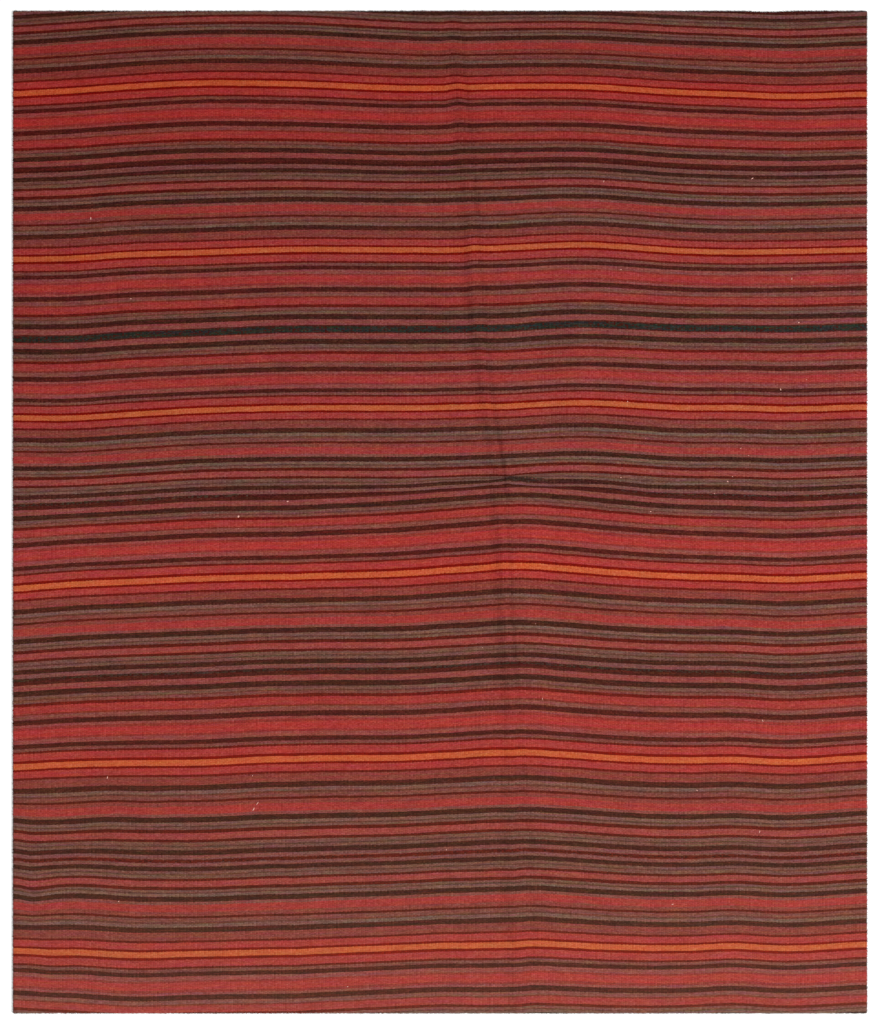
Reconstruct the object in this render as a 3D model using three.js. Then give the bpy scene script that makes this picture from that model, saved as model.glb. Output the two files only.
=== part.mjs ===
// A Turkish kilim lying flat: one piece of weft-faced wool cloth with plain edges all round.
// It was stored folded in four, and still carries the fold that runs along its length, a
// small pucker where the two folds cross, and a soft swell beside them. Everywhere else it
// lies dead flat. X runs along the stripes, Y along the length, Z up. The origin is the
// middle of the underside.
import * as THREE from "three";

// Cloth, in millimetres
const WIDTH = 1753;
const LENGTH = 2057;
const THICKNESS = 3;
const WOOL_RED = 0x83403a;

// The far edge is drawn in a little where a few wefts pull tight.
const EDGE_DIP = { x: 674, halfWidth: 66, depth: 2 };

// The lengthwise fold is two steps side by side, that climb from left to right. A row gives
// where the first step stands, how high it climbs, how far beyond it the second step is,
// and how high the cloth lies after both.
const FOLD_ROWS = [
  { y: 1029, x: 20, first: 0.9, gap: 20, crest: 1.3 },
  { y: 640, x: 50, first: 1.2, gap: 26, crest: 1.9 },
  { y: 430, x: 63, first: 1.8, gap: 28, crest: 2.6 },
  { y: 260, x: 83, first: 1.6, gap: 23, crest: 2.8 },
  { y: 70, x: 108, first: 1.4, gap: 26, crest: 3.2 },
  { y: -70, x: 119, first: 1.8, gap: 25, crest: 2.8 },
  { y: -210, x: 124, first: 1.8, gap: 25, crest: 2.6 },
  { y: -390, x: 135, first: 1.2, gap: 27, crest: 1.8 },
  { y: -590, x: 137, first: 1.0, gap: 41, crest: 1.5 },
  { y: -780, x: 141, first: 0.9, gap: 50, crest: 1.3 },
  { y: -1029, x: 152, first: 0.6, gap: 48, crest: 0.9 },
];
const FIRST_HALF_STEP = 7;
const SECOND_HALF_STEP = 5;
// Left of the first step the cloth swells a little before it dips to the floor.
const LIP = { from: -75, top: -40, to: -10, height: 0.5 };
// Right of the second step it sinks back to the floor over this stretch.
const DESCENT = { from: 8, to: 80 };

// The pucker is a short low ridge across the fold, bowed towards the far edge.
const PUCKER = { x: 134, y: 66, halfLength: 125, halfWidth: 14, height: 2.6, bow: 9 };

// The swell is a low soft rise beside the fold.
const SWELL = { x: 278, y: 300, halfWidth: 60, halfLength: 240, height: 2 };

// Columns of the cloth's grid that follow the fold: an offset, and how much of the gap.
const FOLD_COLUMNS = [
  { offset: LIP.from, gaps: 0 },
  { offset: LIP.top, gaps: 0 },
  { offset: LIP.to, gaps: 0 },
  { offset: 0, gaps: 0 },
  { offset: FIRST_HALF_STEP, gaps: 0 },
  { offset: -SECOND_HALF_STEP, gaps: 1 },
  { offset: SECOND_HALF_STEP, gaps: 1 },
  { offset: (DESCENT.from + DESCENT.to) / 2, gaps: 1 },
  { offset: DESCENT.to, gaps: 1 },
];
const LEFT_COLUMNS = 9;
const RIGHT_COLUMNS = 10;
const FAR_ROWS = 13;
const NEAR_ROWS = 14;
const PUCKER_ROWS = [1.6, 1, 0.5, 0, -0.5, -1, -1.6];

const { lerp, smoothstep, clamp } = THREE.MathUtils;

// A soft hump, 1 in the middle and 0 from the ends on, level at all three.
const hump = (t) => (Math.abs(t) < 1 ? (1 - t * t) ** 2 : 0);

// A named column of the fold's table, at any distance along the cloth.
function foldAt(y, name) {
  const reached = FOLD_ROWS.slice(1).findIndex((row) => row.y <= y);
  const next = reached === -1 ? FOLD_ROWS.length - 1 : reached + 1;
  const a = FOLD_ROWS[next - 1];
  const b = FOLD_ROWS[next];
  return lerp(a[name], b[name], clamp((a.y - y) / (a.y - b.y), 0, 1));
}

const puckerLine = (x) =>
  PUCKER.y - PUCKER.bow * Math.min(1, ((x - PUCKER.x) / PUCKER.halfLength) ** 2);

const farEdge = (x) =>
  LENGTH / 2 - EDGE_DIP.depth * hump((x - EDGE_DIP.x) / EDGE_DIP.halfWidth);

function foldHeight(x, y) {
  const u = x - foldAt(y, "x");
  const beyond = u - foldAt(y, "gap");
  const first = foldAt(y, "first");
  const second = foldAt(y, "crest") - first;
  const climb =
    first * smoothstep(u, -FIRST_HALF_STEP, FIRST_HALF_STEP) +
    second * smoothstep(beyond, -SECOND_HALF_STEP, SECOND_HALF_STEP);
  const side = u < LIP.top ? LIP.from : LIP.to;
  const lip = LIP.height * hump((u - LIP.top) / (side - LIP.top));
  return lip + climb * (1 - smoothstep(beyond, DESCENT.from, DESCENT.to));
}

function puckerHeight(x, y) {
  const along = (x - PUCKER.x) / PUCKER.halfLength;
  const across = (y - puckerLine(x)) / PUCKER.halfWidth;
  return PUCKER.height * hump(along) * hump(across);
}

function swellHeight(x, y) {
  const along = (y - SWELL.y) / SWELL.halfLength;
  const across = (x - SWELL.x) / SWELL.halfWidth;
  return SWELL.height * hump(along) * hump(across);
}

// How far the underside lies above the floor.
const lift = (x, y) => foldHeight(x, y) + puckerHeight(x, y) + swellHeight(x, y);

// Where the grid's columns cross a line y = constant, from left to right.
function columnsAt(y) {
  const fold = FOLD_COLUMNS.map(
    ({ offset, gaps }) => foldAt(y, "x") + offset + gaps * foldAt(y, "gap"),
  );
  const columns = [];
  for (let i = 0; i < LEFT_COLUMNS; i++) {
    columns.push(lerp(-WIDTH / 2, fold[0], i / LEFT_COLUMNS));
  }
  columns.push(...fold);
  for (let i = 1; i <= RIGHT_COLUMNS; i++) {
    columns.push(lerp(fold.at(-1), WIDTH / 2, i / RIGHT_COLUMNS));
  }
  return columns;
}

// Where the grid's rows cross a line x = constant, from the far edge to the near one.
function rowsAt(x) {
  const pucker = PUCKER_ROWS.map((share) => puckerLine(x) + share * PUCKER.halfWidth);
  const rows = [];
  for (let j = 0; j < FAR_ROWS; j++) {
    rows.push(lerp(farEdge(x), pucker[0], j / FAR_ROWS));
  }
  rows.push(...pucker);
  for (let j = 1; j <= NEAR_ROWS; j++) {
    rows.push(lerp(pucker.at(-1), -LENGTH / 2, j / NEAR_ROWS));
  }
  return rows;
}

// The grid's points: rows from far to near, columns from left to right.
function gridPoints() {
  return rowsAt(0).map((nominalY, j) =>
    columnsAt(nominalY).map((x) => {
      const y = rowsAt(x)[j];
      return new THREE.Vector3(x, y, lift(x, y));
    }),
  );
}

// One closed sheet: the upper face, the under face below it and a wall round the rim.
function sheetGeometry(points, thickness) {
  const rows = points.length;
  const columns = points[0].length;
  const under = points.flat();
  const upper = under.map((p) => p.clone().setZ(p.z + thickness));
  const at = (j, i) => j * columns + i;
  const below = upper.length;
  const index = [];
  const quad = (a, b, c, d) => index.push(a, b, c, a, c, d);
  for (let j = 0; j + 1 < rows; j++) {
    for (let i = 0; i + 1 < columns; i++) {
      const corners = [at(j, i), at(j + 1, i), at(j + 1, i + 1), at(j, i + 1)];
      quad(...corners);
      quad(...corners.map((corner) => corner + below).reverse());
    }
  }
  const rim = [];
  for (let j = 0; j + 1 < rows; j++) rim.push(at(j, 0));
  for (let i = 0; i + 1 < columns; i++) rim.push(at(rows - 1, i));
  for (let j = rows - 1; j > 0; j--) rim.push(at(j, columns - 1));
  for (let i = columns - 1; i > 0; i--) rim.push(at(0, i));
  rim.forEach((a, k) => {
    const b = rim[(k + 1) % rim.length];
    quad(a, a + below, b + below, b);
  });
  const geometry = new THREE.BufferGeometry().setFromPoints([...upper, ...under]);
  geometry.setIndex(index);
  geometry.computeVertexNormals();
  return geometry;
}

const wool = new THREE.MeshStandardMaterial({
  color: WOOL_RED,
  roughness: 0.95,
  metalness: 0,
});

const cloth = new THREE.Mesh(sheetGeometry(gridPoints(), THICKNESS), wool);
cloth.name = "kilim_cloth";

const kilim = new THREE.Group();
kilim.add(cloth);

export default kilim;
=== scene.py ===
# %% [markdown]
# # A Turkish kilim, laid flat
#
# A kilim is a rug with no pile. The weaver passes coloured wool over and under every warp
# and beats it down so hard that the warps disappear, so the colour is all weft and a
# stripe is nothing but a change of yarn. This one is one piece of cloth, about 1.75 by
# 2.06 m, that was stored folded in four and still shows it.
#
# It could be one flat card with a striped material, but then the fold, the wavering wefts
# and the rounded edge would be missing from the side. So the cloth is a real sheet, laid
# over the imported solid, and each of its points knows which weft and which warp it is on.

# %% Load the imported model
import bmesh
import bpy
import numpy as np
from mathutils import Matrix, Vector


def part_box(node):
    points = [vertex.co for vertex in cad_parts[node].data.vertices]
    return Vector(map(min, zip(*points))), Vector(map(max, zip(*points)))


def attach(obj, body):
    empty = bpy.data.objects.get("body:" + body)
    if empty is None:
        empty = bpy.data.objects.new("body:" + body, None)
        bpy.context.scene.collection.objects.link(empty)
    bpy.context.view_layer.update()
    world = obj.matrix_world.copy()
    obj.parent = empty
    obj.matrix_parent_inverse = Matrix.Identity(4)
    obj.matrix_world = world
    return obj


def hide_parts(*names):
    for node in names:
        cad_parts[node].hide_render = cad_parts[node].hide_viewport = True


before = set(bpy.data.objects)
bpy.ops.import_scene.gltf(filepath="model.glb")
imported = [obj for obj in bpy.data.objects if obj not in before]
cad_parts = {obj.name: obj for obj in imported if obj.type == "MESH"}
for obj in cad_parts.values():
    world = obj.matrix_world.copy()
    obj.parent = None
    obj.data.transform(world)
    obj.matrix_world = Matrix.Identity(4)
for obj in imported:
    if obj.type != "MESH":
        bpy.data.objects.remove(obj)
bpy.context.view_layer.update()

MM = 0.001
low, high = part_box("kilim_cloth")
WIDTH = (high[0] - low[0]) / MM
LENGTH = (high[1] - low[1]) / MM
THICKNESS = 3
print(f"the cloth is {WIDTH:.0f} by {LENGTH:.0f} mm")

# %% [markdown]
# ## Curves read off a table
#
# A weaver measures a crooked cloth by laying a straight lath over it and noting how far
# each line strays from it at a few places. The tables below are such notes, in
# millimetres: x is across the cloth from its middle, y along it, towards the far edge.
# Each table has its headings in its first line, and a row for each place. Between the
# notes the cloth bends softly, so each table is read through a smooth curve and not
# through straight pieces, which would show as kinks in the stripes.

# %% Helpers for the shape
def table(headings, *rows):
    """Rows of a table as dictionaries, each value under the heading of its column."""
    return [dict(zip(headings.split(), row, strict=True)) for row in rows]


def soft_curve(places, values, at):
    """The smooth curve through values given at rising places, read off at other places."""
    places = np.asarray(places, float)
    values = np.asarray(values, float).reshape(len(places), -1)
    values = np.broadcast_to(values, (len(places), at.size))
    slopes = np.gradient(values, places, axis=0)
    k = np.clip(np.searchsorted(places, at) - 1, 0, len(places) - 2)
    run = places[k + 1] - places[k]
    t = np.clip((at - places[k]) / run, 0, 1)
    column = np.arange(at.size)
    start = values[k, column] * (1 + 2 * t) + slopes[k, column] * run * t
    end = values[k + 1, column] * (3 - 2 * t) - slopes[k + 1, column] * run * (1 - t)
    return start * (1 - t) ** 2 + end * t ** 2


def read_off(rows, along, name, at):
    """A named column of a table whose rows are placed by the column `along`."""
    rows = sorted(rows, key=lambda row: row[along])
    return soft_curve([row[along] for row in rows], [row[name] for row in rows], at)


def hump(t):
    """1 in the middle and 0 from -1 and 1 on, level at all three."""
    return np.where(np.abs(t) < 1, (1 - t * t) ** 2, 0)


def ease(t):
    """0 up to 0, 1 from 1 on, with a soft climb between."""
    t = np.clip(t, 0, 1)
    return t * t * (3 - 2 * t)


# %% [markdown]
# ## How the cloth lies
#
# Most of the rug is dead flat. The storage fold is two low steps side by side, each a
# millimetre or two, that climb from left to right and sink back to the floor further on.
# Where the two folds of the stack crossed there is a small pucker, and beside the fold a
# broad soft swell. Cloth simulation would lay a sheet this thin perfectly flat again, so
# the relief is given, at the places and heights of the imported solid, with the steps a
# touch softer, since wool never takes a sharp crease.

# %% The fold, the pucker and the swell
FOLD_ROWS = table(
    "y x first gap crest",
    (1029, 20, 0.9, 20, 1.3),
    (640, 50, 1.2, 26, 1.9),
    (430, 63, 1.8, 28, 2.6),
    (260, 83, 1.6, 23, 2.8),
    (70, 108, 1.4, 26, 3.2),
    (-70, 119, 1.8, 25, 2.8),
    (-210, 124, 1.8, 25, 2.6),
    (-390, 135, 1.2, 27, 1.8),
    (-590, 137, 1.0, 41, 1.5),
    (-780, 141, 0.9, 50, 1.3),
    (-1029, 152, 0.6, 48, 0.9),
)
FIRST_HALF_STEP = 10
SECOND_HALF_STEP = 7
LIP = {"from": -75, "top": -40, "to": -10, "height": 0.35}
DESCENT = {"from": 8, "to": 105}
PUCKER = {"x": 134, "y": 66, "half_length": 125, "half_width": 14, "height": 2.6, "bow": 9}
SWELL = {"x": 278, "y": 300, "half_width": 60, "half_length": 240, "height": 2}
EDGE_DIP = {"x": 674, "half_width": 66, "depth": 2, "fades_over": 60}
# Small creases from handling, each a soft ridge between two points of the cloth.
CREASES = table(
    "from to half_width height",
    ((-172, -394), (-128, -506), 13, 0.7),
    ((46, -228), (44, -290), 11, 0.4),
    ((514, 612), (516, 360), 12, 0.35),
    ((-232, -800), (-236, -880), 14, 0.3),
)

print(f"the fold is at most {max(row['crest'] for row in FOLD_ROWS)} mm high")


# %% How high the cloth lies at each point
def fold_at(name, y):
    """A column of the fold's table, read off at other places along the cloth."""
    return read_off(FOLD_ROWS, "y", name, y)


def fold_height(x, y):
    """The two steps, the lip before them and the long way down behind them."""
    u = x - fold_at("x", y)
    beyond = u - fold_at("gap", y)
    first = fold_at("first", y)
    second = fold_at("crest", y) - first
    climb = first * ease((u + FIRST_HALF_STEP) / (2 * FIRST_HALF_STEP))
    climb += second * ease((beyond + SECOND_HALF_STEP) / (2 * SECOND_HALF_STEP))
    reach = np.where(u < LIP["top"], LIP["top"] - LIP["from"], LIP["to"] - LIP["top"])
    lip = LIP["height"] * hump((u - LIP["top"]) / reach)
    stretch = DESCENT["to"] - DESCENT["from"]
    return lip + climb * (1 - ease((beyond - DESCENT["from"]) / stretch))


def pucker_height(x, y):
    """The short ridge across the fold, bowed towards the far edge."""
    along = (x - PUCKER["x"]) / PUCKER["half_length"]
    ridge = PUCKER["y"] - PUCKER["bow"] * np.minimum(1, along ** 2)
    return PUCKER["height"] * hump(along) * hump((y - ridge) / PUCKER["half_width"])


def swell_height(x, y):
    """The broad soft rise beside the fold."""
    along = (y - SWELL["y"]) / SWELL["half_length"]
    across = (x - SWELL["x"]) / SWELL["half_width"]
    return SWELL["height"] * hump(along) * hump(across)


def crease_height(x, y):
    """All the small creases, each highest halfway along."""
    total = np.zeros(x.size)
    for row in CREASES:
        start, end = np.array(row["from"], float), np.array(row["to"], float)
        run = end - start
        length = np.hypot(*run)
        along = ((x - start[0]) * run[0] + (y - start[1]) * run[1]) / length ** 2
        aside = ((x - start[0]) * run[1] - (y - start[1]) * run[0]) / length
        total += row["height"] * hump(2 * along - 1) * hump(aside / row["half_width"])
    return total


def edge_dip(x):
    """How far the far edge is drawn in, in millimetres."""
    return EDGE_DIP["depth"] * hump((x - EDGE_DIP["x"]) / EDGE_DIP["half_width"])


def lift(x, y):
    """How far the underside lies above the floor, in millimetres."""
    return fold_height(x, y) + pucker_height(x, y) + swell_height(x, y) + crease_height(x, y)


on_pucker = lift(np.array([PUCKER["x"]]), np.array([PUCKER["y"]]))[0]
print(f"on top of the pucker the underside lies {on_pucker:.1f} mm above the floor")


# %% [markdown]
# ## How the wefts wander
#
# Hand-beaten wefts are never quite straight. The first table says how far each weft has
# sunk towards the near edge, at twelve places across. At the pucker some groups of picks
# thin out almost to nothing and come back, as a weaver does to level a crooked fell, so
# the stripes pinch together there and all that follow are drawn up into a low point. The
# second table says how many millimetres of cloth are missing from each group, and a
# negative number stands for picks added to fill up. The third and the fourth hold soft
# waves and the kinks at the fold. A weft is named by `level`, the height at which it
# would lie if the cloth had been beaten square.

# %% Notes of the wandering wefts
SAG_PLACES = (-870, -760, -635, -500, -330, -20, 134, 278, 514, 600, 700, 870)
SAG_ROWS = table(
    "level sag",
    (1020, (22, 15, 6, 1, 0, 14, 14, 13, 23, 26, 29, 23)),
    (880, (22, 16, 7, 0, 1, 11, 7, 7, 20, 23, 27, 23)),
    (537, (18, 16, 8, 4, -2, -2, -6, -12, 1, 3, 2, -2)),
    (300, (18, 18, 10, 4, -2, -3, -6, -13, -6, -6, -4, -8)),
    (120, (18, 18, 11, 3, -1, -2, -7, -13, -1, -1, 2, -3)),
    (-20, (23, 16, 10, 3, 0, 1, -8, -10, -2, 0, 3, -4)),
    (-329, (22, 15, 10, 6, -1, 10, 4, 2, 3, 3, 8, 0)),
    (-711, (6, 3, 4, 5, -1, 5, 1, -3, -3, -6, -2, -11)),
    (-1013, (-8, -2, 5, 2, 0, 2, 3, -5, -13, -17, -12, -19)),
)
print(f"{len(SAG_ROWS)} wefts were noted at {len(SAG_PLACES)} places each")

# %% Notes of the pinch at the pucker
PINCH_ROWS = table(
    "x rose mole walnut plum black",
    (-300, 0, 0, 0, 0, 0),
    (-200, 0, 0.5, 1.5, 1, 2.5),
    (-120, 0, 1.5, 2, 2, 4.5),
    (-60, 0, 3, 2, 2, 6.5),
    (0, 0, 6, 2, 1.5, 7),
    (65, 0, 5.5, 2.5, 2, 7),
    (104, -1.5, 6, 3.5, 4, 5.5),
    (120, -3, 9, 3, 2, 6.5),
    (132, -4, 10.5, 3.5, 3, 4.5),
    (141, -4, 14, 1, 2.5, 4.5),
    (149, -4, 14, -2, 3.5, 6),
    (157, -2.5, 10.5, -0.5, 3, 7.5),
    (166, -2, 8.5, 1.5, 2.5, 7.5),
    (178, -1.5, 8.5, -1.5, 2.5, 9.3),
    (190, -1.5, 6, -0.5, 3, 9.8),
    (206, 0, 2.5, 0.5, 3, 10),
    (227, 0, 2.5, -1, 3.5, 9),
    (251, 0, 3, -2, 3.5, 7.5),
    (280, 0, 2, -1, 4, 5),
    (309, 0, 2, -1, 3, 3.5),
    (345, 0, 0.5, 0.5, 2, 2),
    (430, 0, -3, 1, 1, 2.5),
    (530, 0, 0, 0, 0, 0),
)
PINCHED = {"rose": (95, 72), "mole": (70, 55.5), "walnut": (55.5, 46), "plum": (46, 37),
           "black": (37, 23)}
most_missing = max(sum(row[group] for group in PINCHED) for row in PINCH_ROWS)
print(f"at the pucker {most_missing:.1f} mm of cloth are missing")

# %% Notes of soft waves, and of the kinks at the fold
# Where a few wefts ride higher than that, in soft waves, or lower where the rise is
# negative. Those near the left side are short. The last ones run right across, where one
# bobbin was beaten harder than the next.
WAVES = table(
    "x level half_width half_length rise",
    (-780, -620, 110, 110, -4),
    (-740, -770, 130, 150, 4.5),
    (-880, -720, 45, 190, 6),
    (-825, -785, 45, 70, -3),
    (-795, -935, 50, 90, -2.5),
    (-620, -930, 120, 100, -1.5),
    (-600, -600, 60, 80, -2),
    (0, 935, 2000, 35, -1),
    (0, 755, 2000, 40, -1),
    (0, 664, 2000, 45, 1.5),
    (-300, 200, 1200, 90, 1.5),
    (0, -30, 2000, 60, 1),
    (-150, -362, 1500, 45, 1.8),
    (300, -600, 900, 50, -1.2),
    (200, -760, 1000, 100, 1.2),
)
# Pressed in a fold for years, the wefts kinked there. A row gives how far beyond the first
# step the kink stands, and how much higher the wefts lie before it, at it and after it.
KINK_ROWS = table(
    "level beyond before at after",
    (1029, 2, -0.6, 1.2, -0.7),
    (935, 2, -0.4, 1.6, -1),
    (860, 2, 0.5, 3.8, 0.3),
    (800, 2, 0.5, 3.6, 0.8),
    (734, 2, -0.4, 1.3, 0.4),
    (670, 6, 0, 0.6, -0.2),
    (611, 14, -1, 0, -1.6),
    (529, 14, -1.7, 1.2, -0.2),
    (447, 14, -1.5, 0.8, 0),
    (365, 8, -1, 0.5, -1.4),
    (290, 0, 0.8, 2.4, -0.2),
    (240, 0, 0.4, 1.2, -0.6),
    (160, 0, 0.6, 0.8, -0.5),
    (118, 0, 0, 0, 0),
    (0, 8, 0, 0.6, 0),
    (-90, 8, -0.8, 1.1, -0.2),
    (-170, 6, -0.5, 0.6, -0.3),
    (-250, 6, -0.7, 0, -0.6),
    (-350, 6, 0.9, 0.9, 1.3),
    (-420, 6, 0.9, 0.5, 0.8),
    (-500, 8, 1, -0.4, 0.1),
    (-600, 8, -0.4, -1.2, -0.5),
    (-700, 8, 0.7, -0.4, 0.5),
    (-744, 10, -0.5, -1.6, 0.4),
    (-826, 10, 0.7, 0.4, 1.6),
    (-908, 10, 0, -0.8, 1.4),
    (-1029, 10, -0.8, -1.5, 0.8),
)
KINK_HALF_WIDTH = 28
KINK_TURNS_OVER = 24
KINK_CREST = 4
KINK_FADES = {"from": 60, "to": 120}
print(f"there are {len(WAVES)} waves, and kinks up to {max(row['at'] for row in KINK_ROWS)} mm")


# %% Read the wefts off the notes
def kink(x, level):
    """How much higher a weft lies near the fold because it was pressed there."""
    beyond = x - fold_at("x", level) - read_off(KINK_ROWS, "level", "beyond", level)
    near = 1 - ease((np.abs(beyond) - KINK_FADES["from"])
                    / (KINK_FADES["to"] - KINK_FADES["from"]))
    shares = {
        "before": near * (1 - ease(beyond / KINK_TURNS_OVER + 1)),
        "at": hump(beyond / KINK_HALF_WIDTH),
        "after": near * ease((beyond - KINK_CREST) / KINK_TURNS_OVER),
    }
    return sum(read_off(KINK_ROWS, "level", name, level) * share
               for name, share in shares.items())


def sag(x, level):
    """How far a weft has sunk towards the near edge at x from where it belongs."""
    rows = sorted(SAG_ROWS, key=lambda row: row["level"])
    lines = np.array([soft_curve(SAG_PLACES, row["sag"], x) for row in rows])
    wander = soft_curve([row["level"] for row in rows], lines, level)
    table_x = [row["x"] for row in PINCH_ROWS]
    for group, (top, bottom) in PINCHED.items():
        missing = np.interp(x, table_x, [row[group] for row in PINCH_ROWS])
        wander = wander - missing * np.clip((top - level) / (top - bottom), 0, 1)
    for row in WAVES:
        along = hump((level - row["level"]) / row["half_length"])
        wander = wander - row["rise"] * along * hump((x - row["x"]) / row["half_width"])
    return wander - kink(x, level)


MOST_SAG = 60
HALVINGS = 20


def level_at(x, y):
    """The level of the weft that passes through a point, closed in on by halving."""
    lowest, highest = y - MOST_SAG, y + MOST_SAG
    for _ in range(HALVINGS):
        tried = (lowest + highest) / 2
        above = tried - sag(x, tried) > y
        highest = np.where(above, tried, highest)
        lowest = np.where(above, lowest, tried)
    return (lowest + highest) / 2


middle_weft = level_at(np.zeros(1), np.zeros(1))[0]
print(f"the weft through the middle of the cloth has risen {-middle_weft:.1f} mm")

# %% [markdown]
# ## The cloth
#
# The sheet is a net of quads, 3 mm thick, with its rim rounded like a firmly packed edge.
# Its rows are the wefts themselves, straightened only close to the cut ends, so a stripe
# never runs across a quad. The net is fine only where something happens: its columns run
# along the two steps of the fold and crowd together there, and its rows crowd at the
# pucker. That keeps the piece under 200,000 triangles with the underside closed. Every
# point also carries what the stripes need to know: how far across it is, how far down
# the woven length its weft lies, and how dark its fold is painted there, as shade with a
# little dirt.

# %% Build the net of points
RIM = THICKNESS / 2
PUCKER_BAND = (78, 16)
FOLD_BAND = 80
STRAIGHTENED = 90
# How many cells the net has between one mark and the next, down and across the cloth.
CELLS_DOWN = (3, 62, 34, 66, 3)
CELLS_ACROSS = (3, 110, 26, 10, 26, 90, 3)


def spread(marks, cells):
    """Places from the first mark to the last, with so many even cells between marks."""
    marks = np.array(np.broadcast_arrays(*marks), float)
    parts = [marks[:1]]
    for start, end, count in zip(marks[:-1], marks[1:], cells):
        share = np.arange(1, count + 1)[:, None] / count
        parts.append(start + (end - start) * share)
    return np.concatenate(parts)


row_level = spread(
    [[LENGTH / 2], [LENGTH / 2 - RIM], [PUCKER_BAND[0]], [PUCKER_BAND[1]],
     [-LENGTH / 2 + RIM], [-LENGTH / 2]],
    CELLS_DOWN,
)[:, 0]
fold_x = fold_at("x", row_level)
fold_end = fold_x + fold_at("gap", row_level)
grid_x = spread(
    [-WIDTH / 2, -WIDTH / 2 + RIM, fold_x - FOLD_BAND, fold_x, fold_end,
     fold_end + FOLD_BAND, WIDTH / 2 - RIM, WIDTH / 2],
    CELLS_ACROSS,
).T
rows, columns = grid_x.shape
grid_level = np.repeat(row_level[:, None], columns, axis=1)
free = ease((LENGTH / 2 - RIM - np.abs(grid_level)) / STRAIGHTENED)
grid_y = grid_level - free * sag(grid_x.ravel(), grid_level.ravel()).reshape(rows, columns)
edge_distance = np.minimum(WIDTH / 2 - np.abs(grid_x), LENGTH / 2 - np.abs(grid_level))
near_far_edge = 1 - (LENGTH / 2 - grid_y) / EDGE_DIP["fades_over"]
grid_y = grid_y - edge_dip(grid_x) * np.clip(near_far_edge, 0, 1)
print(f"the net has {rows} rows and {columns} columns")

# %% Give the net its relief and its thickness
x, y = grid_x.ravel(), grid_y.ravel()
middle_z = lift(x, y) + RIM
inwards = np.clip(1 - edge_distance.ravel() / RIM, 0, 1)
half_thick = RIM * np.sqrt(1 - inwards ** 2)
upper = np.stack([x, y, middle_z + half_thick], axis=1)
under = np.stack([x, y, middle_z - half_thick], axis=1)
number = np.arange(rows * columns).reshape(rows, columns)
inside = np.zeros((rows, columns), bool)
inside[1:-1, 1:-1] = True
under_number = number.copy()
under_number[inside] = rows * columns + np.arange(inside.sum())
points = np.concatenate([upper, under[inside.ravel()]])


def quads(numbers):
    """The faces of a net, each corner by its number, seen from the upper side."""
    corners = (numbers[:-1, :-1], numbers[1:, :-1], numbers[1:, 1:], numbers[:-1, 1:])
    return np.stack([corner.ravel() for corner in corners], axis=1)


faces = np.concatenate([quads(number), quads(under_number)[:, ::-1]])
mesh = bpy.data.meshes.new("kilim_weave")
mesh.from_pydata((points * MM).tolist(), [], faces.tolist())
mesh.shade_smooth()
kilim = bpy.data.objects.new("kilim_weave", mesh)
bpy.context.collection.objects.link(kilim)
print(f"the cloth has {2 * len(faces)} triangles")

# %% [markdown]
# ## Fading, haze and painted light
#
# Wool fades in the sun, and dust settles in it. This rug lay folded for years with its
# near half outwards, so that half is paler from the middle fold on, and dusty towards its
# end, while the far left kept most of its red. The paleness is partly that fading and
# partly painted light, which falls stronger on the near end; the dust is partly a painted
# sheen, a pale haze of loose fibre catching the light. Along the storage fold the cloth
# was rubbed and took up some dirt, but its darkening there is mostly painted shade of the
# fold's steps. The notes below are judged in percent: `paler` is how much more light the
# wool throws back, `redder` how much deeper its red dye still is, at five places across,
# and `dusty` how much of it is hidden by the haze.

# %% Notes of fading, dust and soil
TONE_PLACES = (-870, -450, 0, 450, 870)
TONE_AND_HAZE_ROWS = table(
    "y paler dusty redder",
    (1029, -25, 0, (3, 0, -3, -3, -5)),
    (880, -14, 0, (9, 6, 4, 4, 3)),
    (720, -15, 0, (4, 2, 0, -1, -2)),
    (400, -13, 0, (0.5, -1.5, -4, -4.5, -5.5)),
    (100, -8, 0, (-2, -2, -3, -3, -4)),
    (-60, 1, 1, (-1, 1, 2.5, 0.5, -0.5)),
    (-300, 0, 2, (1, 1.5, 0.5, 0.5, 0)),
    (-500, 2, 3, (2, 3, 2, 2, 1)),
    (-800, 4, 5, (1, 1, 1, 1, 1)),
    (-930, 4, 6.5, (-1, -1, -1, -1, -1)),
    (-1029, 4, 8, (-4, -4, -4, -4, -4)),
)
# How dark the first and the second step of the fold are made, in percent: mostly painted shade
# of the steps, with a little dirt that the fold took up.
FOLD_SHADE_AND_SOIL_ROWS = table(
    "y first second",
    (1029, 2, 3),
    (640, 2, 4),
    (520, 7, 3),
    (300, 7, 1),
    (200, 5, 2),
    (140, 4, 13),
    (70, 4, 13),
    (40, 6, 2),
    (-70, 7, 2),
    (-200, 9, 6),
    (-290, 10, 9),
    (-330, 9, 5),
    (-450, 5, 3),
    (-1029, 5, 3),
)


print(f"the cloth's age was noted at {len(TONE_AND_HAZE_ROWS)} distances along it")


def across_and_along(rows, places, name, x, y):
    """A table whose column holds one value for each place across, read off softly."""
    rows = sorted(rows, key=lambda row: row["y"])
    lines = np.array([soft_curve(places, row[name], x) for row in rows])
    return soft_curve([row["y"] for row in rows], lines, y)


# %% Note on every point its warp, its weft, the fold with its painted shade, and its tone and haze
def note(noted_mesh, name, *columns):
    """Stores up to three numbers for each point of a mesh, for its material to read."""
    values = np.zeros((len(noted_mesh.vertices), 3), np.float32)
    for place_in_note, column in enumerate(columns):
        values[:, place_in_note] = column
    noted = noted_mesh.attributes.new(name, "FLOAT_VECTOR", "POINT")
    noted.data.foreach_set("vector", values.ravel())


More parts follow.
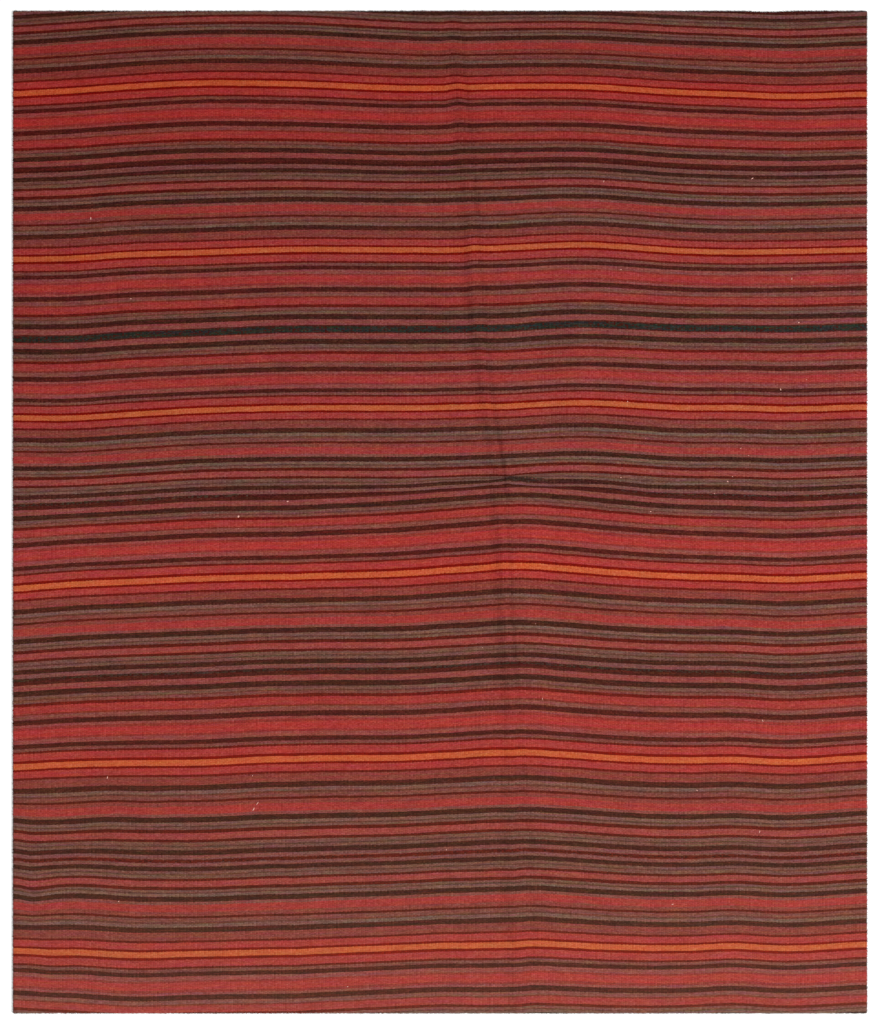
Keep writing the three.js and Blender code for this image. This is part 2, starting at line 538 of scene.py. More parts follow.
def note_wool(noted_mesh, px, py):
    """All that the wool's material asks about points at px, py on the cloth."""
    from_first = px - fold_at("x", py)
    note(noted_mesh, "woven_mm", px, LENGTH / 2 - level_at(px, py))
    note(noted_mesh, "from_fold_mm", from_first, from_first - fold_at("gap", py))
    # The fold's darkening: mostly painted shade of its steps, with a little dirt.
    note(noted_mesh, "fold_shade_and_soil", read_off(FOLD_SHADE_AND_SOIL_ROWS, "y", "first", py) / 100,
         read_off(FOLD_SHADE_AND_SOIL_ROWS, "y", "second", py) / 100)
    # Its tone: lighter towards the near end, partly fading and partly painted light; its kept
    # red; and a haze, partly dust and partly painted sheen.
    note(noted_mesh, "age", read_off(TONE_AND_HAZE_ROWS, "y", "paler", py) / 100,
         across_and_along(TONE_AND_HAZE_ROWS, TONE_PLACES, "redder", px, py) / 100,
         read_off(TONE_AND_HAZE_ROWS, "y", "dusty", py) / 100)


note_wool(mesh, points[:, 0], points[:, 1])
print(f"each point carries {len(mesh.attributes)} kinds of value")

# %% [markdown]
# ## The yarns
#
# All of it is hand-spun wool, dyed in the hank with madder, its browns partly natural
# fleece. Wool has no gloss: it is rough, with a faint bloom of loose fibre. Each colour
# below is that yarn's own colour in plain daylight. The last column says how mixed the
# fleece was: the browns drift between olive and oxblood along a weft, while the reds and
# the orange come more evenly out of the dye pot.

# %% Yarn colours
YARNS = {
    "orange": ("#A94D2D", 0.5),
    "rust": ("#690600", 0.5),
    "crimson": ("#90312D", 0.7),
    "maroon": ("#59120A", 0.7),
    "oxblood": ("#4D130A", 0.7),
    "rose": ("#75342D", 0.8),
    "walnut": ("#3B1911", 0.9),
    "nut": ("#401A12", 0.9),
    "chestnut": ("#441610", 0.9),
    "fawn": ("#68463D", 1.0),
    "mole": ("#664037", 1.0),
    "umber": ("#5A2F25", 1.0),
    "bark": ("#533127", 1.0),
    "dusty": ("#6D3A33", 0.9),
    "blush": ("#733C35", 0.8),
    "madder": ("#8B2F2B", 0.7),
    "old_rose": ("#823833", 0.8),
    "rosewood": ("#793934", 0.8),
    "pink": ("#7D3B36", 0.8),
    "scarlet": ("#922E2A", 0.7),
    "brick": ("#7C2A25", 0.8),
    "russet": ("#6C271D", 0.8),
    "plum": ("#6C3E39", 1.0),
    "black": ("#3C110B", 0.9),
    "peat": ("#431710", 0.9),
    "slate": ("#25211C", 1.0),
    "soot": ("#34211A", 1.0),
}


def linear(hex_colour):
    """An sRGB hex colour as the linear red, green and blue that Blender works in."""
    shares = [int(hex_colour[i:i + 2], 16) / 255 for i in (1, 3, 5)]
    return [s / 12.92 if s <= 0.04045 else ((s + 0.055) / 1.055) ** 2.4 for s in shares]


print(f"{len(YARNS)} yarns; the orange is {[round(v, 3) for v in linear(YARNS['orange'][0])]}")


# %% [markdown]
# ## The weaver's chart
#
# The whole rug is two half repeats, woven forwards and backwards. Each runs from the
# middle of an orange stripe to the middle of a dark one. Here they are as a weaver would
# write them: yarn, then how many millimetres of it, in cloth beaten to average.

# %% The two half repeats
HALF_A = [
    ("orange", 5), ("rust", 4.4), ("crimson", 11.9), ("maroon", 4), ("rose", 14.5),
    ("nut", 10.4), ("fawn", 5.7), ("umber", 3.5), ("dusty", 7.1), ("oxblood", 4.5),
    ("rose", 7.5), ("madder", 13.2), ("blush", 5.8), ("walnut", 9.6), ("fawn", 5.7),
    ("bark", 2.5), ("mole", 4.5), ("oxblood", 6), ("old_rose", 11.2), ("oxblood", 5),
    ("mole", 5.9), ("bark", 2.9), ("mole", 4.9), ("walnut", 9.3), ("plum", 8),
    ("black", 5.5),
]
HALF_B = [
    ("orange", 5), ("rust", 4.9), ("crimson", 13.2), ("maroon", 4), ("dusty", 5.6),
    ("chestnut", 8.5), ("pink", 8), ("brick", 3.8), ("scarlet", 14.4), ("brick", 5),
    ("pink", 4.5), ("chestnut", 10.4), ("blush", 8.2), ("russet", 3), ("madder", 14),
    ("maroon", 5.6), ("dusty", 5), ("umber", 3), ("mole", 6.4), ("walnut", 10.9),
    ("rosewood", 11.1), ("peat", 8.7),
]
# How far from the orange the walnut stripe in the half's middle lies, as a share of it.
MIDDLE = {"A": 0.575, "B": 0.509}

# The rug from its far edge to its near one. A half that starts at the dark runs backwards.
# The two lengths are its parts on either side of that walnut stripe, which differ with how
# hard they were beaten. Two halves turn back a little before the chart's end.
HALVES = table(
    "half starts_at by_orange by_dark reach",
    ("A", "dark", 105.5, 68, 1),
    ("B", "orange", 83.8, 77, 1),
    ("A", "dark", 104.3, 79, 1),
    ("B", "orange", 82.9, 80.7, 1),
    ("B", "dark", 81.1, 81.1, 1),
    ("A", "orange", 103, 75.3, 1),
    ("B", "dark", 87.8, 77.1, 1),
    ("A", "orange", 110.8, 83.6, 1),
    ("B", "dark", 94.4, 86.2, 1),
    ("A", "orange", 118.4, 85.8, 0.985),
    ("A", "dark", 113.5, 78.4, 0.985),
    ("B", "orange", 90.9, 79.2, 1),
)
# The first half began this far beyond the far edge, where the cloth leaves the loom.
FIRST_HALF_STARTS = -25.3
for name, half in (("A", HALF_A), ("B", HALF_B)):
    print(f"half {name}: {len(half)} stripes, {sum(width for _, width in half):.0f} mm")

# %% [markdown]
# ## The wool's material
#
# The chart becomes two colour ramps, one for each half, with hard stops, because a yarn
# ends where the next begins. Which place of which ramp a point shows follows from its
# weft: the distance down the cloth is turned into a zigzag that runs from 0 at each
# orange stripe to 1 at each dark one. A ramp is stored as 256 steps, so one ramp for the
# whole rug would be far too coarse, while one for each half is finer than a weft.

# %% Start the material
def add(kind, inputs=(), out=0, **settings):
    """Adds a node with its settings and what feeds its sockets, and gives one output."""
    made = tree.nodes.new("ShaderNode" + kind)
    for name, value in settings.items():
        setattr(made, name, value)
    fed = inputs if isinstance(inputs, dict) else dict(enumerate(inputs))
    for socket, value in fed.items():
        if isinstance(value, bpy.types.NodeSocket):
            tree.links.new(value, made.inputs[socket])
        else:
            made.inputs[socket].default_value = value
    return made if out is None else made.outputs[out]


wool = bpy.data.materials.new("hand_spun_wool_weft_faced")
wool.use_nodes = True
tree = wool.node_tree
tree.nodes.clear()
woven_mm = add("Attribute", out="Vector", attribute_name="woven_mm")
split = add("SeparateXYZ", (woven_mm,), out=None).outputs
across, down = split[0], split[1]
print(f"{wool.name} starts with {len(tree.nodes)} nodes")

# %% [markdown]
# ## Beads of weft
#
# Close up, a weft-faced cloth is rows of small beads, each one weft passing over one
# warp. The warps are 3.75 mm apart, a little more or less, since nothing holds them at an
# even spacing on a village loom. On each warp the beads follow each other every 1.66 mm,
# and on the next warp they sit half a step lower, which gives every colour change a fine
# saw-tooth edge. Each bead takes the colour of the chart at its own middle.

# %% Find the bead that a point is on
WARP_SPACING = 3.75
BEAD_LENGTH = 1.66
# How far, in millimetres, a pick strays along the cloth and a warp strays across it.
PICK_STRAYS = 0.9
WARP_STRAYS = 2.2
# How many hills that straying has in each millimetre, across the cloth and down it.
PICK_HILLS = (0.03, 0.12)
WARP_HILLS = (0.05, 0.012)
# Fibres of neighbouring wefts mingle, so a bead's colour is only this much its own.
STEPPED = 0.3


def noise(place, scales, detail, out=0):
    """Soft noise over a place on the cloth, with so many hills in each of its units."""
    stretched = add("VectorMath", (place, (*scales, 0)), operation="MULTIPLY")
    return add("TexNoise", {
        "Vector": stretched, "Scale": 1.0, "Detail": detail, "Roughness": 0.55,
    }, out, noise_dimensions="2D")


pick_lie = add("Math", (noise(woven_mm, PICK_HILLS, 2), 0.5), operation="SUBTRACT")
warp_lie = add("Math", (noise(woven_mm, WARP_HILLS, 1), 0.5), operation="SUBTRACT")
uneven_down = add("Math", (pick_lie, 2 * PICK_STRAYS, down), operation="MULTIPLY_ADD")
uneven_across = add("Math", (warp_lie, 2 * WARP_STRAYS, across), operation="MULTIPLY_ADD")

# %% Number its warp and its pick
warp = add("Math", (uneven_across, WARP_SPACING), operation="DIVIDE")
warp_number = add("Math", (warp,), operation="FLOOR")
odd_warp = add("Math", (warp_number, 2.0), operation="FLOORED_MODULO")
half_drop = add("Math", (odd_warp, 0.5), operation="MULTIPLY")
beads_down = add("Math", (uneven_down, BEAD_LENGTH), operation="DIVIDE")
pick = add("Math", (beads_down, half_drop), operation="ADD")
pick_number = add("Math", (pick,), operation="FLOOR")
pick_middle = add("Math", (pick_number, 0.5), operation="ADD")
bead_middle = add("Math", (pick_middle, half_drop), operation="SUBTRACT")
middle_down = add("Math", (bead_middle, BEAD_LENGTH), operation="MULTIPLY")
to_middle = add("Math", (middle_down, uneven_down), operation="SUBTRACT")
bead_down = add("Math", (to_middle, STEPPED, uneven_down), operation="MULTIPLY_ADD")
bead_id = add("CombineXYZ", (warp_number, pick_number))
bead_luck = add("TexWhiteNoise", {"Vector": bead_id}, noise_dimensions="2D")

# %% Turn the distance down the cloth into a place on a half's chart
place = 0.0
in_b = 0.0
edge = FIRST_HALF_STARTS
before = None
for half in HALVES:
    middle = MIDDLE[half["half"]]
    reach = half["reach"]
    parts = [(half["by_orange"], middle), (half["by_dark"], reach - middle)]
    if half["starts_at"] == "dark":
        parts = [(length, -rise) for length, rise in reversed(parts)]
        if before is None:
            place = reach
    if before is not None and half["half"] != before:
        turn = 1.0 if half["half"] == "B" else -1.0
        passed = add("Math", (bead_down, edge), operation="GREATER_THAN")
        in_b = add("Math", (passed, turn, in_b), operation="MULTIPLY_ADD")
    for length, rise in parts:
        climb = add("MapRange", (bead_down, edge, edge + length, 0.0, rise), clamp=True)
        place = add("Math", (climb, place), operation="ADD")
        edge += length
    before = half["half"]
print(f"the chart's {len(HALVES)} halves end {edge:.0f} mm down")


# %% Wind the yarns onto the two ramps
def wind(half):
    """A colour ramp with one hard stop for each yarn of a half; alpha is its mixedness."""
    ramp_node = add("ValToRGB", (place,), out=None)
    ramp = ramp_node.color_ramp
    ramp.interpolation = "CONSTANT"
    total = sum(width for _, width in half)
    start = 0.0
    for number_in_half, (yarn, width) in enumerate(half):
        stop = ramp.elements[0] if number_in_half == 0 else ramp.elements.new(start / total)
        hex_colour, mixed = YARNS[yarn]
        stop.color = (*linear(hex_colour), mixed)
        start += width
    ramp.elements.remove(ramp.elements[-1])
    return ramp_node


ramp_a, ramp_b = wind(HALF_A), wind(HALF_B)
yarn = add("Mix", {
    "Factor": in_b, 6: ramp_a.outputs[0], 7: ramp_b.outputs[0],
}, out=2, data_type="RGBA")
mixed = add("Mix", {"Factor": in_b, 2: ramp_a.outputs[1], 3: ramp_b.outputs[1]})

# %% Slip in the odd yarns
# In a few dark stripes, and right of the pucker, the brown ran out and the weaver went on
# with another dark yarn. Each row says where, in millimetres across and down. Both were
# carded together there, so only a share of the beads shows the odd yarn.
ODD_ROWS = table(
    "yarn from_x to_x down half_width share",
    ("slate", -900, 900, 656, 6, 0.8),
    ("soot", 128, 232, 974.6, 3.8, 0.8),
    ("soot", 112, 196, 975.5, 6.5, 0.8),
    ("soot", -900, -390, 993.6, 2.8, 0.4),
    ("soot", 340, 900, 993.6, 2.8, 0.3),
    ("soot", -900, 900, 1352.7, 3, 0.6),
    ("oxblood", -900, 900, 1740.5, 4, 0.8),
)
ODD_FADES_OVER = 30

for row in ODD_ROWS:
    off_middle = add("Math", (bead_down, row["down"]), operation="SUBTRACT")
    off = add("Math", (off_middle,), operation="ABSOLUTE")
    on_row = add("Math", (off, row["half_width"]), operation="LESS_THAN")
    begun = add("MapRange", (across, row["from_x"], row["from_x"] + ODD_FADES_OVER))
    done = add("MapRange", (across, row["to_x"] - ODD_FADES_OVER, row["to_x"]))
    on_stretch = add("Math", (begun, done), operation="SUBTRACT")
    there = add("Math", (on_row, on_stretch), operation="MULTIPLY")
    likely = add("Math", (there, row["share"]), operation="MULTIPLY")
    odd_here = add("Math", (likely, bead_luck), operation="GREATER_THAN")
    yarn = add("Mix", {
        "Factor": odd_here, 6: yarn, 7: (*linear(YARNS[row["yarn"]][0]), 1),
    }, out=2, data_type="RGBA")
print(f"an odd yarn was slipped in {len(ODD_ROWS)} times")

# %% [markdown]
# ## Strong and weak dye
#
# Hand-dyed yarn is never one colour. Dye hides light the way depth of water does: twice
# the dye takes the light away twice, so a strongly dyed stretch of yarn is its own
# colour to a higher power. That gives every yarn, dark or pale, the same gentle flicker,
# as in real wool. It flickers from bead to bead, and every other warp is painted a little
# lighter, a painted highlight as if it stood prouder and caught more light. It drifts
# over three or four warps where the spinning was thick or thin, and more slowly from hank
# to hank. The red, green and blue light are each taken a little differently, since no
# two fleeces are quite the same brown.

# %% Dye every bead more or less
LUCK_OF_BEAD = 0.22
SPUN_THICK = 0.26
# Painted highlight: every other warp is painted a little lighter than its neighbours.
PAINTED_WARP_HIGHLIGHT = 0.03
SHADE_AND_SOIL_DEEPENS = 0.38
FLEECE = (0.34, 0.23, 0.22)
HANK = (0.36, 0.26, 0.26)
# How many hills each has, for each warp across and for each pick down.
SPINNING_HILLS = (0.5, 0.8)
FLEECE_HILLS = (0.085, 0.30)
HANK_HILLS = (0.014, 0.55)


def swing(colour, most):
    """Turns noise around a half into a swing around nothing, at most so much."""
    centred = add("VectorMath", (colour, (0.5, 0.5, 0.5)), operation="SUBTRACT")
    return add("VectorMath", (centred, most), operation="MULTIPLY")


spinning = noise(bead_id, SPINNING_HILLS, 1)
fleece = noise(bead_id, FLEECE_HILLS, 2, out=1)
hank = noise(bead_id, HANK_HILLS, 2, out=1)
hank_swing = add("VectorMath", {0: swing(hank, HANK), 3: mixed}, operation="SCALE")
evenly = 1.0
for chance, middle, most in ((bead_luck, 0.5, LUCK_OF_BEAD), (spinning, 0.5, SPUN_THICK),
                             (half_drop, 0.25, 2 * PAINTED_WARP_HIGHLIGHT)):
    off_middle = add("Math", (chance, middle), operation="SUBTRACT")
    evenly = add("Math", (off_middle, most, evenly), operation="MULTIPLY_ADD")

# %% Read what each point notes of its tone and haze, the fold, and the fold's painted shade and dirt
age, from_fold, fold_shade_and_soil = (
    add("SeparateXYZ", (add("Attribute", out="Vector", attribute_name=name),), None).outputs
    for name in ("age", "from_fold_mm", "fold_shade_and_soil")
)
paler, redder, dusty = age[0], age[1], age[2]
print(f"the dye takes the material to {len(tree.nodes)} nodes")

# %% Paint shade along the fold and the sides, with a little dirt on the fold
# Bands along the fold's two steps: mostly painted shade, with a little dirt.
FIRST_SHADE_AND_SOIL = {"from_step": -6, "half_width": 22}
SECOND_SHADE_AND_SOIL = {"from_step": 0, "half_width": 8}
# The sides get painted shade only: a darker rim where the rounded edge turns down.
SIDE_PAINTED_SHADE = {"half_width": 4, "amount": 0.15}


def shade_and_soil_band(distance, half_width, amount):
    """How much painted shade and dirt there is in a soft band along a line."""
    in_halves = add("Math", (distance, half_width), operation="DIVIDE")
    aside = add("Math", (in_halves,), operation="ABSOLUTE")
    capped = add("Math", (aside, 1.0), operation="MINIMUM")
    squared = add("Math", (capped, capped), operation="MULTIPLY")
    rest = add("Math", (1.0, squared), operation="SUBTRACT")
    band = add("Math", (rest, 2.0), operation="POWER")
    return add("Math", (band, amount), operation="MULTIPLY")


# Painted shade along both sides, where the rounded rim turns down.
from_middle = add("Math", (across,), operation="ABSOLUTE")
to_side = add("Math", (WIDTH / 2, from_middle), operation="SUBTRACT")
all_shade_and_soil = shade_and_soil_band(to_side, SIDE_PAINTED_SHADE["half_width"], SIDE_PAINTED_SHADE["amount"])
# Painted shade, with a little dirt, along the fold's two steps.
for step, band in enumerate((FIRST_SHADE_AND_SOIL, SECOND_SHADE_AND_SOIL)):
    from_band = add("Math", (from_fold[step], band["from_step"]), operation="SUBTRACT")
    here = shade_and_soil_band(from_band, band["half_width"], fold_shade_and_soil[step])
    all_shade_and_soil = add("Math", (all_shade_and_soil, here), operation="ADD")
print(f"the soil takes it to {len(tree.nodes)}")

# %% Put the dye together
# The painted shade and dirt also deepen the dye.
deepened = add("Math", (all_shade_and_soil, SHADE_AND_SOIL_DEEPENS, evenly), operation="MULTIPLY_ADD")
kept_dye = add("CombineXYZ", (0.0, redder, redder))
strength = add("CombineXYZ", (deepened, deepened, deepened))
for part in (swing(fleece, FLEECE), hank_swing, kept_dye):
    strength = add("VectorMath", (strength, part), operation="ADD")
dyed = add("VectorMath", (yarn, strength), operation="POWER")

# %% Fade and haze it, partly with painted light and shade
# Half of the painted shade and dirt just darkens the wool, the rest deepens its colour, as
# grease would.
SHADE_AND_SOIL_DARKENS = 0.5
# Walked on, shaken and folded, the cloth is nowhere quite as clean as beside it.
HANDLED = 0.18
HANDLED_HILLS = (0.011, 0.011)
# The colour of the haze, partly dust and partly painted sheen.
HAZE_COLOUR = "#6E6A50"

handled = add("Math", (noise(woven_mm, HANDLED_HILLS, 2), 0.5), operation="SUBTRACT")
# Lighter towards the near end: partly fading, partly painted light falling stronger there.
brightened = add("Math", (paler, 1.0), operation="ADD")
shade = add("Math", (handled, HANDLED, brightened), operation="MULTIPLY_ADD")
darkening = add("Math", (all_shade_and_soil, SHADE_AND_SOIL_DARKENS), operation="MULTIPLY")
kept_brightness = add("Math", (1.0, darkening), operation="SUBTRACT")
shade = add("Math", (shade, kept_brightness), operation="MULTIPLY")
shaded_and_faded = add("VectorMath", {0: dyed, 3: shade}, operation="SCALE")
# The haze grows towards the near end: partly dust, partly a painted sheen of loose fibre.
hazed = add("Mix", {
    "Factor": dusty, 6: shaded_and_faded, 7: (*linear(HAZE_COLOUR), 1),
}, out=2, data_type="RGBA")
print(f"fading and dust take it to {len(tree.nodes)}")

# %% Raise the beads
BEAD_HEIGHT = 0.26
# Wool scatters light in its fibres and has almost no gloss of its own.
WOOL_GLOSS = {"Roughness": 0.95, "Specular IOR Level": 0.06, "IOR": 1.55}

rounded = []
for thread in (warp, pick):
    place_on_bead = add("Math", (thread,), operation="FRACT")
    off_middle = add("Math", (place_on_bead, 0.5), operation="SUBTRACT")
    squared = add("Math", (off_middle, 2.0), operation="POWER")
    fallen = add("Math", (squared, 4.0), operation="MULTIPLY")
    rest = add("Math", (1.0, fallen), operation="SUBTRACT")
    rounded.append(add("Math", (rest, 0.5), operation="POWER"))
bead = add("Math", rounded, operation="MULTIPLY")
bead_height = add("Math", (bead, BEAD_HEIGHT * MM), operation="MULTIPLY")
bump = add("Bump", {"Height": bead_height, "Strength": 1.0, "Distance": 1.0})
surface = add("BsdfPrincipled", {"Base Color": hazed, "Normal": bump, **WOOL_GLOSS})
add("OutputMaterial", (surface,), out=None)
mesh.materials.append(wool)
print(f"the wool's material has {len(tree.nodes)} nodes")

# %% [markdown]
# ## Loose fibres
#
# Hand-spun wool is hairy. Where a weft turns round the last warp, and along the two cut
# ends, short wisps of fibre stand out past the cloth and soften its outline. Hair
# particles would not stay with the cloth as a mesh, so each wisp is a slim bent thorn. A
# single fibre would be too fine to see, so a wisp stands for several. They are one mesh,
# and they read the same notes as the cloth, so each has the colour of its own weft.

# %% Grow the wisps round the rim
WISPS_PER_MM = {"sides": 2.0, "far": 2.0, "near": 2.8}
WISP_LENGTH = (1.2, 3.8)
WISP_WIDTH = 0.6
WISP_ROOT_INSIDE = 0.5
WISP_LEAN = 0.9
WISP_DROOP = 0.8
# Wisps start on the middle part of the rim, as shares of the cloth's thickness.
WISP_STARTS = (0.3, 0.8)
SHORTEST_SHARE = 0.5
# Halfway out, a wisp has leant less than half of its lean, so it is bent.
LEAN_HALFWAY = 0.3
SEED = 11
luck = np.random.default_rng(SEED)


def wisps_along(length, per_mm, place_on_rim, outwards):
    """Root, middle and tip of the wisps on one edge, with the edge's own direction."""
    count = int(length * per_mm)
    along = luck.uniform(-length / 2, length / 2, count)
    reach = luck.uniform(*WISP_LENGTH, count) * luck.uniform(SHORTEST_SHARE, 1, count)
    lean = luck.uniform(-WISP_LEAN, WISP_LEAN, count) * reach
    start = luck.uniform(*WISP_STARTS, count) * THICKNESS
    out = np.array(outwards, float)
    beside = np.array([-out[1], out[0]])
    root = place_on_rim(along) - WISP_ROOT_INSIDE * out
    middle = root + np.outer(reach / 2, out) + np.outer(lean * LEAN_HALFWAY, beside)
    tip = root + np.outer(reach + WISP_ROOT_INSIDE, out) + np.outer(lean, beside)
    ground = lift(root[:, 0], root[:, 1])
    heights = ground[:, None] + np.maximum(
        np.stack([start, start, start - WISP_DROOP * reach], axis=1), WISP_WIDTH / 2)
    return [np.column_stack([p, heights[:, k]]) for k, p in enumerate((root, middle, tip))]


def far_edge(x):
    return np.column_stack([x, LENGTH / 2 - edge_dip(x)])


edges = [
    wisps_along(LENGTH - THICKNESS, WISPS_PER_MM["sides"],
                lambda y: np.column_stack([np.full(y.size, -WIDTH / 2), y]), (-1, 0)),
    wisps_along(LENGTH - THICKNESS, WISPS_PER_MM["sides"],
                lambda y: np.column_stack([np.full(y.size, WIDTH / 2), y]), (1, 0)),
    wisps_along(WIDTH - THICKNESS, WISPS_PER_MM["far"], far_edge, (0, 1)),
    wisps_along(WIDTH - THICKNESS, WISPS_PER_MM["near"],
                lambda x: np.column_stack([x, np.full(x.size, -LENGTH / 2)]), (0, -1)),
]
root, middle, tip = (np.concatenate([edge_wisps[k] for edge_wisps in edges])
                     for k in range(3))

# %% Make the wisps one mesh
# Seven points a wisp: a triangle at its root, a narrower one in the middle, and the tip.
TRIANGLE = table("side up", (0, 1), (-0.87, -0.5), (0.87, -0.5))
ONE_WISP = ((0, 2, 1), (0, 1, 4, 3), (1, 2, 5, 4), (2, 0, 3, 5),
            (3, 4, 6), (4, 5, 6), (5, 3, 6))
WISP_POINTS = 7
course = tip - root
side_on = np.column_stack([-course[:, 1], course[:, 0], np.zeros(len(root))])
side_on /= np.linalg.norm(side_on, axis=1)[:, None]
upwards = np.array([0, 0, 1.0])
corners = [
    centre + radius * (corner["up"] * upwards + corner["side"] * side_on)
    for centre, radius in ((root, WISP_WIDTH / 2), (middle, WISP_WIDTH / 3))
    for corner in TRIANGLE
]
wisp_points = np.stack([*corners, tip], axis=1).reshape(-1, 3)
wisp_faces = [tuple(WISP_POINTS * k + corner for corner in face)
              for k in range(len(root)) for face in ONE_WISP]
wisp_mesh = bpy.data.meshes.new("rim_wisps")
wisp_mesh.from_pydata((wisp_points * MM).tolist(), [], wisp_faces)
wisp_mesh.shade_smooth()
own_root = np.repeat(root, WISP_POINTS, axis=0)
note_wool(wisp_mesh, own_root[:, 0], own_root[:, 1])
wisp_mesh.materials.append(wool)
wisps = bpy.data.objects.new("rim_wisps", wisp_mesh)
bpy.context.collection.objects.link(wisps)
print(f"{len(root)} wisps stand out of the rim")

# %% [markdown]
# ## Neps
#
# A nep is a tiny knot of fleece that missed the dye pot and was spun in all the same. On
# the dark reds each is a pale speck, and a few dozen are large enough to see from a step
# away. They are small low buds on the cloth, where the photograph shows them, in one
# mesh. Sizes are in millimetres, and `turn` is the way the long side points, in degrees
# from the weft.

# %% Knot the neps
NEPS = table(
    "x y long wide turn",
    (-414, -9, 5.0, 4.0, 40),
    (699, 252, 4.6, 2.2, 110),
    (385, 227, 3.0, 1.8, 60),
    (-313, 22, 4.4, 2.4, 20),
    (590, 63, 4.2, 2.0, 150),
    (736, 389, 4.0, 2.2, 10),
    (-717, 603, 5.4, 2.2, 95),
    (477, -805, 4.8, 1.9, 5),
    (-683, -545, 5.2, 1.9, 80),
    (722, 479, 5.0, 1.8, 90),
    (-383, -610, 8.0, 2.2, 60),
    (-375, -598, 7.4, 1.6, 50),
    (-660, -799, 3.6, 2.0, 30),
    (196, -229, 1.8, 1.0, 130),
    (432, 1, 3.6, 2.0, 0),
    (656, -656, 6.0, 1.7, 75),
    (-190, -974, 3.4, 1.8, 25),
    (371, 71, 2.8, 2.2, 0),
    (641, 685, 5.6, 1.8, 35),
    (527, -571, 4.6, 1.4, 155),
    (563, 38, 3.2, 1.2, 20),
    (-635, 438, 4.4, 1.4, 0),
    (371, 498, 3.2, 1.4, 0),
    (600, 73, 2.8, 1.3, 165),
    (752, 272, 2.2, 1.4, 60),
    (13, -693, 2.6, 1.3, 120),
    (422, 151, 1.8, 1.0, 45),
    (662, -428, 6.4, 1.5, 115),
    (617, 131, 3.6, 1.4, 15),
    (210, -383, 5.0, 1.2, 100),
    (336, 679, 4.0, 1.4, 80),
    (633, 116, 3.2, 1.1, 0),
    (-385, -541, 3.4, 1.3, 70),
    (820, 1, 2.6, 1.2, 140),
    (87, -278, 3.0, 1.2, 10),
    (-414, -34, 1.8, 0.9, 160),
)
NEP_HEIGHT = 0.7
NEP_LUMPS = 0.12
bud_builder = bmesh.new()
bmesh.ops.create_icosphere(bud_builder, subdivisions=2, radius=1)
bud_faces = [[corner.index for corner in face.verts] for face in bud_builder.faces]
bud = np.array([corner.co for corner in bud_builder.verts])
bud_builder.free()
nep_points, nep_faces = [], []
for row in NEPS:
    lumpy = bud * luck.uniform(1 - NEP_LUMPS, 1 + NEP_LUMPS, (len(bud), 1))
    lumpy = lumpy * (row["long"] / 2, row["wide"] / 2, NEP_HEIGHT)
    turn = np.radians(row["turn"])
    east = lumpy[:, 0] * np.cos(turn) - lumpy[:, 1] * np.sin(turn) + row["x"]
    north = lumpy[:, 0] * np.sin(turn) + lumpy[:, 1] * np.cos(turn) + row["y"]
    top_of_cloth = lift(east, north) + THICKNESS
    nep_faces += [[corner + len(bud) * len(nep_points) for corner in face]
                  for face in bud_faces]
    nep_points.append(np.column_stack([east, north, top_of_cloth + lumpy[:, 2]]))
nep_mesh = bpy.data.meshes.new("neps")
nep_mesh.from_pydata((np.concatenate(nep_points) * MM).tolist(), [], nep_faces)
nep_mesh.shade_smooth()
neps = bpy.data.objects.new("neps", nep_mesh)
bpy.context.collection.objects.link(neps)
print(f"{len(NEPS)} neps sit on the cloth")

# %% Undyed fleece for the neps
# Fleece is a warm off-white, with a little of the madder's pink rubbed into it. It is as
# dull as the dyed wool, and its tangled fibres make it a little lighter here and there.
FLEECE_PALE = "#D8A99C"
FLEECE_DEEP = "#B98074"
TANGLES_PER_METRE = 1500.0
fleece_wool = bpy.data.materials.new("undyed_fleece_tangled")
fleece_wool.use_nodes = True
tree = fleece_wool.node_tree
tree.nodes.clear()
tangle_place = add("NewGeometry", out="Position")
tangle = add("TexNoise", {"Vector": tangle_place, "Scale": TANGLES_PER_METRE, "Detail": 2.0})
tangled = add("Mix", {
    "Factor": tangle, 6: (*linear(FLEECE_DEEP), 1), 7: (*linear(FLEECE_PALE), 1),
}, out=2, data_type="RGBA")
fleece_surface = add("BsdfPrincipled", {"Base Color": tangled, **WOOL_GLOSS})
add("OutputMaterial", (fleece_surface,), out=None)
nep_mesh.materials.append(fleece_wool)
print(f"{fleece_wool.name} has {len(tree.nodes)} nodes")

# %% Hand the cloth over to the frame
for piece in (kilim, wisps, neps):
    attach(piece, "root")
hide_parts("kilim_cloth")
print("the cloth, its wisps and its neps ride on the same body")

# %% [markdown]
# ## Floor, light and camera
#
# The rug was photographed from straight above on white. A broad light stands to the
# right and a little towards the near edge, low enough to catch the fold, and a pale
# surround fills its shadows. The white ground is lit a little from below, as a
# photographer of flat goods does, so that the cloth throws hardly any shadow on it.

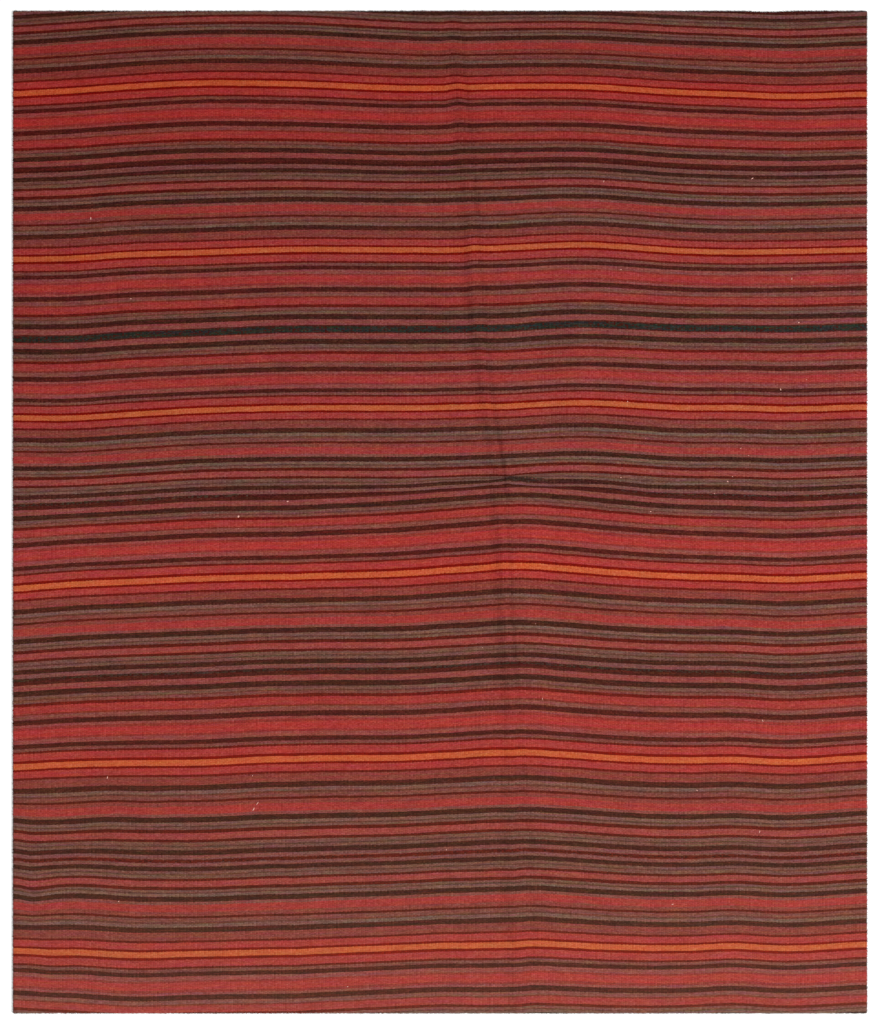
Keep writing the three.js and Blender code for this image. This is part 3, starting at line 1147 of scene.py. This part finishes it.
# %% Floor
FLOOR_HALF = 30
FLOOR_DROP = 0.0002
GROUND = {"base": "#BDBDBC", "roughness": 0.9, "glow": 0.45}
floor_mesh = bpy.data.meshes.new("floor")
floor_mesh.from_pydata(
    [(sx * FLOOR_HALF, sy * FLOOR_HALF, -FLOOR_DROP)
     for sx, sy in ((-1, -1), (1, -1), (1, 1), (-1, 1))],
    [], [(0, 1, 2, 3)],
)
floor = bpy.data.objects.new("floor", floor_mesh)
bpy.context.collection.objects.link(floor)
paint = bpy.data.materials.new("matt_white_translucent_ground")
paint.use_nodes = True
ground_sockets = paint.node_tree.nodes["Principled BSDF"].inputs
ground_sockets["Base Color"].default_value = (*linear(GROUND["base"]), 1)
ground_sockets["Roughness"].default_value = GROUND["roughness"]
ground_sockets["Emission Color"].default_value = (1, 1, 1, 1)
ground_sockets["Emission Strength"].default_value = GROUND["glow"]
floor_mesh.materials.append(paint)
print(f"the ground is {2 * FLOOR_HALF} m wide")

# %% Light
SURROUND_STRENGTH = 0.43
world = bpy.data.worlds.new("pale_studio")
world.use_nodes = True
surround = world.node_tree.nodes["Background"].inputs
surround["Color"].default_value = (1, 1, 1, 1)
surround["Strength"].default_value = SURROUND_STRENGTH
bpy.context.scene.world = world

KEY = {"x": 16.2, "y": -5.6, "z": 11.4, "size": 4.0, "power": 7210}
key_data = bpy.data.lights.new("key", "AREA")
key_data.size = KEY["size"]
key_data.energy = KEY["power"]
key = bpy.data.objects.new("key", key_data)
key.location = (KEY["x"], KEY["y"], KEY["z"])
key.rotation_euler = (-key.location).to_track_quat("-Z", "Y").to_euler()
bpy.context.collection.objects.link(key)
print(f"the key light stands {key.location.length:.1f} m away")

# %% Camera, straight above, with the photograph's frame
SENSOR = 36
PHOTO_HEIGHT = 1024
MM_PER_PIXEL = 2.0525
DISTANCE = 6.0
OFF_CENTRE = (-2.05 * MM, 0.2 * MM)
camera_data = bpy.data.cameras.new("camera")
camera_data.sensor_width = SENSOR
camera_data.lens = SENSOR * DISTANCE / (PHOTO_HEIGHT * MM_PER_PIXEL * MM)
camera = bpy.data.objects.new("camera", camera_data)
camera.location = (*OFF_CENTRE, DISTANCE + THICKNESS * MM)
bpy.context.collection.objects.link(camera)
bpy.context.scene.camera = camera
bpy.context.scene.view_settings.view_transform = "Standard"
print(f"the lens is {camera_data.lens:.1f} mm")
